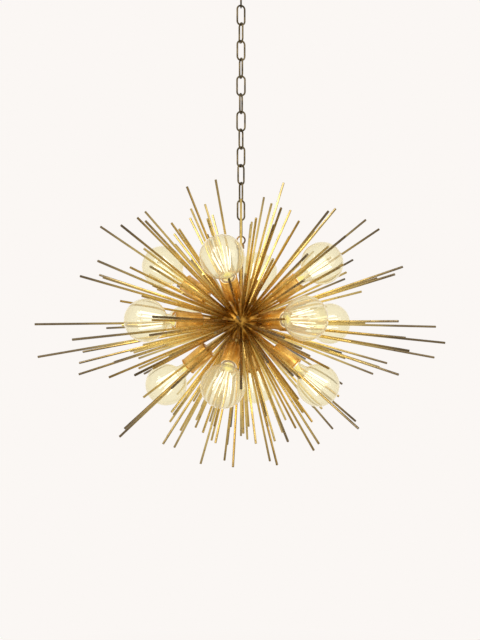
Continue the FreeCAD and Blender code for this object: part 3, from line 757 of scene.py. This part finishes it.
def pillar_material():
    """The glass pillar: a painted yellow-green glow on its flared foot, for the strands' light it gathers;
    its stem is pale, with a faint painted glow.
    """
    material, tree, shader = new_material("pillar_glass")
    place = add_node(tree, "ShaderNodeTexCoord").outputs["Object"]
    arm = add_node(tree, "ShaderNodeVectorMath", {0: place, 1: tuple(ball_centre)}, operation="SUBTRACT")
    reach = add_node(tree, "ShaderNodeVectorMath", {0: arm.outputs[0]}, operation="LENGTH").outputs["Value"]
    stem = spread_values(tree, reach, lamp_start + 0.036, lamp_start + 0.048)
    noise = add_node(tree, "ShaderNodeTexNoise", {"Vector": place, "Scale": 120.0, "Detail": 2.0})
    # Painted glow: the foot's yellow-green colour and emission, and the stem's faint emission, stand for the
    # strands' light in the pillar.
    foot = mix_colours(tree, noise.outputs[0], (0.62, 0.56, 0.10, 1), (0.95, 0.90, 0.36, 1))
    tree.links.new(mix_colours(tree, stem, foot, (0.95, 0.93, 0.80, 1)), shader.inputs["Base Color"])
    tree.links.new(mix_colours(tree, stem, foot, (0.30, 0.28, 0.20, 1)), shader.inputs["Emission Color"])
    shader.inputs["Emission Strength"].default_value = 0.45
    shader.inputs["Roughness"].default_value = 0.12
    return material


def heel_material():
    """Dark purple-black cap glass with a slow swirl."""
    material, tree, shader = new_material("cap_heel")
    place = add_node(tree, "ShaderNodeTexCoord").outputs["Object"]
    masks = tarnish_of(tree, place, 200.0, 1500.0, (900.0, 900.0, 900.0))
    swirl = mix_colours(tree, masks["Clouds"], (0.012, 0.010, 0.014, 1), (0.035, 0.03, 0.04, 1))
    tree.links.new(swirl, shader.inputs["Base Color"])
    tree.links.new(spread_values(tree, masks["Clouds"], 0, 1, 0.15, 0.3), shader.inputs["Roughness"])
    return material


def cap_material():
    """Rolled cap metal, silvery and slightly rubbed, with a faint painted glow of the lamp's light."""
    material, tree, shader = new_material("cap_metal")
    place = add_node(tree, "ShaderNodeTexCoord").outputs["Object"]
    masks = tarnish_of(tree, place, 150.0, 1300.0, (1300.0, 1300.0, 1300.0))
    cloudy = mix_colours(tree, masks["Clouds"], (0.78, 0.72, 0.60, 1), (0.95, 0.92, 0.84, 1))
    tree.links.new(cloudy, shader.inputs["Base Color"])
    tree.links.new(spread_values(tree, masks["Clouds"], 0, 1, 0.34, 0.20), shader.inputs["Roughness"])
    bump = add_node(tree, "ShaderNodeBump", {"Strength": 0.15, "Distance": 0.0001, "Height": masks["Grain"]})
    tree.links.new(bump.outputs[0], shader.inputs["Normal"])
    shader.inputs["Metallic"].default_value = 1.0
    # Painted glow: a faint warm emission stands for the lamp's light on the cap, tip and spokes.
    shader.inputs["Emission Color"].default_value = (1.0, 0.90, 0.66, 1)
    shader.inputs["Emission Strength"].default_value = 0.12
    return material


globe_radius = 0.0475
lamp_length = 0.138
glass_wall = 0.0009
neck_radius = 0.0126
neck_start = 0.0222
cap_height = 0.027
cap_radius = 0.0132
cap_thread_span = (0.006, 0.0225)
cap_thread_depth = 0.0007
cap_rows = 44
throat = (0.015, 0.038)
shoulder_radius = 0.021
lamp_start = float(along_lamps("lamp_01_cap")[0].min())


def globe_outline():
    """The envelope in section: neck, throat curve and sphere outside, and the same less the wall.

    The throat is a parabola from the neck to the sphere, tangent to both.
    """
    centre = lamp_length - globe_radius
    meet = math.acos(shoulder_radius / globe_radius)
    join = np.array([shoulder_radius, centre - globe_radius * math.sin(meet)])
    slope = np.array([math.sin(meet), math.cos(meet)])
    reach = (join[0] - throat[0]) / slope[0]
    handle = join - slope * reach
    t = np.linspace(0, 1, 10)[:, None]
    curve = (1 - t) ** 2 * np.array(throat) + 2 * t * (1 - t) * handle + t ** 2 * join
    around = np.linspace(-meet, np.pi / 2, 40)[1:]
    sphere = np.stack([globe_radius * np.cos(around), centre + globe_radius * np.sin(around)], -1)
    neck = [(neck_radius, neck_start), (neck_radius, cap_height), (0.0131, 0.0305)]
    outside = np.concatenate([neck, curve, sphere])
    way = np.gradient(outside, axis=0)
    way /= np.linalg.norm(way, axis=1, keepdims=True)
    inside = outside + glass_wall * np.stack([-way[:, 1], way[:, 0]], -1)
    inside[0] = (neck_radius - glass_wall, neck_start)
    inside[-1] = (0.0, lamp_length - glass_wall)
    outside[-1, 0] = 0.0
    return np.concatenate([outside, inside[::-1]]) + (0, lamp_start)


def cap_outline():
    """The cap's metal in section: threaded side, rim, and the hollow that holds the neck."""
    rows = np.linspace(*cap_thread_span, cap_rows)
    side = np.stack([np.full(cap_rows, cap_radius), rows], -1)
    rest = [(cap_radius, 0.0232), (cap_radius, cap_height - 0.0003), (cap_radius - 0.0003, cap_height),
            (neck_radius + 0.0001, cap_height), (neck_radius + 0.0001, neck_start - 0.0002),
            (0.0, neck_start - 0.0002), (0.0, 0.0055), (0.0105, 0.0052)]
    outline = np.concatenate([side, rest]) + (0, lamp_start)
    return outline, np.concatenate([np.ones(cap_rows), np.zeros(len(rest))])


tip_outline = eased([(0.0, 0.0), (0.0034, 0.0), (0.0046, 0.0012), (0.0046, 0.0016), (0.0, 0.0016)],
                    0.0004) + (0, lamp_start)
heel_outline = eased([(0.0, 0.0015), (0.0045, 0.0015), (0.0095, 0.0048), (0.0104, 0.0053), (0.0, 0.0053)],
                     0.0004) + (0, lamp_start)
pillar_top = 0.1034
pillar_outline = eased([(0.0, 0.0221), (0.0105, 0.0221), (0.0105, 0.0235), (0.0065, 0.0290), (0.0028, 0.0400),
                        (0.0022, 0.0460), (0.0020, pillar_top - 0.001), (0.0, pillar_top)],
                       0.002, 5) + (0, lamp_start)
strand_count = 12
strand_radius = 0.0009
strand_low = (0.012, 0.054)
strand_length = 0.050
strand_lean = math.radians(9)
spoke_radius = 0.0003
spoke_inset = 0.0008
GLOBE_GLASS = globe_glass_material()
STRAND_GLOW = strand_material()
PILLAR_GLASS = pillar_material()
CAP_METAL = cap_material()
CAP_HEEL = heel_material()


def rods_from(bases, leans, radius, length, sides):
    """Round-ended rods, each from its base along its own heading: the outline of one turned
    about every heading, with quarter circles at both ends."""
    end = np.linspace(0, np.pi / 2, 4)
    low = np.stack([radius * np.sin(end), radius * (1 - np.cos(end))], -1)
    high = np.stack([radius * np.cos(end), length - radius * (1 - np.sin(end))], -1)
    outline = np.concatenate([low, high])
    first, second = across(leans)
    angle = np.arange(sides) * 2 * np.pi / sides
    round_part = (first[:, None, None] * np.cos(angle)[:, None]
                  + second[:, None, None] * np.sin(angle)[:, None])
    points = (bases[:, None, None] + leans[:, None, None] * outline[None, :, None, 1:2]
              + round_part * outline[None, :, None, 0:1]) + ball_centre
    faces = grid_faces(len(outline), sides, wrap_rows=True)
    starts = np.arange(len(bases))[:, None, None] * len(outline) * sides
    return points.reshape(-1, 3), (faces[None] + starts).reshape(-1, 4)


def cage_of(heading):
    """The light strands in a cone that opens away from the cap, and their two wheels of spokes."""
    side, other = across(heading[None])
    turn = np.arange(strand_count)[:, None] * 2 * np.pi / strand_count
    outwards = side * np.cos(turn) + other * np.sin(turn)
    leans = heading * math.cos(strand_lean) + outwards * math.sin(strand_lean)
    foot = heading * (lamp_start + strand_low[1])
    rise = heading * strand_length * math.cos(strand_lean)
    strands = rods_from(foot + outwards * strand_low[0], leans, strand_radius, strand_length, 8)
    middle = np.repeat(foot[None], strand_count, axis=0)
    high_reach = strand_low[0] + strand_length * math.sin(strand_lean)
    low_spokes = rods_from(middle + heading * spoke_inset, outwards, spoke_radius, strand_low[0], 6)
    high_spokes = rods_from(middle + rise - heading * spoke_inset, outwards, spoke_radius, high_reach, 6)
    return strands, joined(low_spokes, high_spokes)


cap_shape, cap_thread = cap_outline()
for lamp_number, lamp_axis in enumerate(lamp_axes, start=1):
    lamp_body = f"lamp_{lamp_number:02d}"
    axis = lamp_axis[None]
    globe_points, globe_faces = bundle(axis, globe_outline(), 72)
    make_piece(lamp_body + "_globe", globe_points, globe_faces, GLOBE_GLASS, lamp_body,
               [lamp_body + "_glass"], "lamp_glass", smooth_angle=80)
    thread_points, thread_faces = threaded_bundle(
        axis, cap_shape, 40, cap_thread, cap_thread_depth,
        lamp_start + cap_thread_span[0], lamp_start + cap_thread_span[1])
    make_piece(lamp_body + "_screw_cap", thread_points, thread_faces, CAP_METAL, lamp_body,
               [lamp_body + "_cap"], "lamp_cap", smooth_angle=60)
    for part, part_outline, part_material in (
            ("tip", tip_outline, CAP_METAL), ("heel", heel_outline, CAP_HEEL),
            ("pillar", pillar_outline, PILLAR_GLASS)):
        part_points, part_faces = bundle(axis, part_outline, 24)
        make_piece(f"{lamp_body}_{part}", part_points, part_faces, part_material, lamp_body,
                   slot="lamp_cap", smooth_angle=50)
    strands, spokes = cage_of(lamp_axis)
    make_piece(lamp_body + "_strands", *strands, STRAND_GLOW, lamp_body, slot="lamp_cap")
    make_piece(lamp_body + "_spokes", *spokes, CAP_METAL, lamp_body, slot="lamp_cap")


# ---------------------------------------------------------------------------------------
# Studio: a pale floor well below the chandelier, a pale room, two soft lamps, and the
# camera, a little below the ball and level with the photograph's frame.
# ---------------------------------------------------------------------------------------
pale = (0.965, 0.930, 0.905, 1)
floor_height = -2.6
floor_half = 14.0


def seen_directly(tree):
    """1 for rays that show the background: from the camera, off metal and through glass."""
    path = add_node(tree, "ShaderNodeLightPath").outputs
    seen = add_node(tree, "ShaderNodeMath", {0: path["Is Camera Ray"], 1: path["Is Glossy Ray"]},
                    operation="MAXIMUM")
    return add_node(tree, "ShaderNodeMath", {0: seen.outputs[0], 1: path["Is Transmission Ray"]},
                    operation="MAXIMUM").outputs[0]


def floor_material():
    """A pale matt floor: it takes the shadow below the chandelier, and far out shows as the room."""
    material, tree, shader = new_material("floor")
    shader.inputs["Base Color"].default_value = pale
    shader.inputs["Roughness"].default_value = 0.9
    plain = add_node(tree, "ShaderNodeEmission", {"Color": pale, "Strength": 1.0})
    place = add_node(tree, "ShaderNodeTexCoord").outputs["Object"]
    away = add_node(tree, "ShaderNodeVectorMath", {0: place, 1: (1, 1, 0)}, operation="MULTIPLY")
    away = add_node(tree, "ShaderNodeVectorMath", {0: away.outputs[0]}, operation="LENGTH").outputs["Value"]
    fading = spread_values(tree, away, 1.0, 4.5, 0.5)
    shown = add_node(tree, "ShaderNodeMath", {0: seen_directly(tree), 1: fading}, operation="MULTIPLY")
    mixed = add_node(tree, "ShaderNodeMixShader",
                     {0: shown.outputs[0], 1: shader.outputs[0], 2: plain.outputs[0]})
    output = next(item for item in tree.nodes if item.type == "OUTPUT_MATERIAL")
    tree.links.new(mixed.outputs[0], output.inputs[0])
    return material


floor_mesh = bpy.data.meshes.new("floor")
floor_mesh.from_pydata([(-floor_half, -floor_half, floor_height), (floor_half, -floor_half, floor_height),
                        (floor_half, floor_half, floor_height), (-floor_half, floor_half, floor_height)],
                       [], [(0, 1, 2, 3)])
floor_mesh.materials.append(floor_material())
floor = bpy.data.objects.new("floor", floor_mesh)
bpy.context.scene.collection.objects.link(floor)

world = bpy.data.worlds.new("room")
bpy.context.scene.world = world
world.use_nodes = True
room = world.node_tree
room.nodes.clear()
lit = add_node(room, "ShaderNodeBackground", {"Color": (1.0, 0.98, 0.95, 1), "Strength": 0.75})
shown = add_node(room, "ShaderNodeBackground", {"Color": pale, "Strength": 1.0})
room_mix = add_node(room, "ShaderNodeMixShader",
                    {0: seen_directly(room), 1: lit.outputs[0], 2: shown.outputs[0]})
room_output = add_node(room, "ShaderNodeOutputWorld")
room.links.new(room_mix.outputs[0], room_output.inputs[0])


def soft_lamp(name, place, size, power, colour):
    """A square soft lamp aimed at the ball."""
    light = bpy.data.lights.new(name, "AREA")
    light.size = size
    light.energy = power
    light.color = colour
    lamp = bpy.data.objects.new(name, light)
    lamp.location = place
    lamp.rotation_euler = (Vector(ball_centre) - Vector(place)).to_track_quat("-Z", "Y").to_euler()
    bpy.context.scene.collection.objects.link(lamp)


soft_lamp("key_lamp", (-1.9, -2.3, 0.9), 1.4, 38, (1.0, 0.97, 0.92))
soft_lamp("fill_lamp", (2.3, -1.8, -0.2), 1.8, 20, (1.0, 0.96, 0.90))

camera_distance = 2.470
camera_rise = math.radians(-2.4)
camera_field = 1.441
photo_height = 640
camera_data = bpy.data.cameras.new("camera")
camera_data.sensor_fit = "VERTICAL"
camera_data.sensor_height = 36.0
camera_data.lens = 36.0 * camera_distance / camera_field
camera_data.shift_x = -1.0 / photo_height
camera_data.shift_y = 2.0 / photo_height
camera = bpy.data.objects.new("camera", camera_data)
camera.location = Vector(ball_centre) + camera_distance * Vector(
    (0.0, -math.cos(camera_rise), math.sin(camera_rise)))
camera.rotation_euler = (math.radians(90) - camera_rise, 0, 0)
bpy.context.scene.collection.objects.link(camera)
bpy.context.scene.camera = camera
bpy.context.scene.view_settings.view_transform = "Standard"
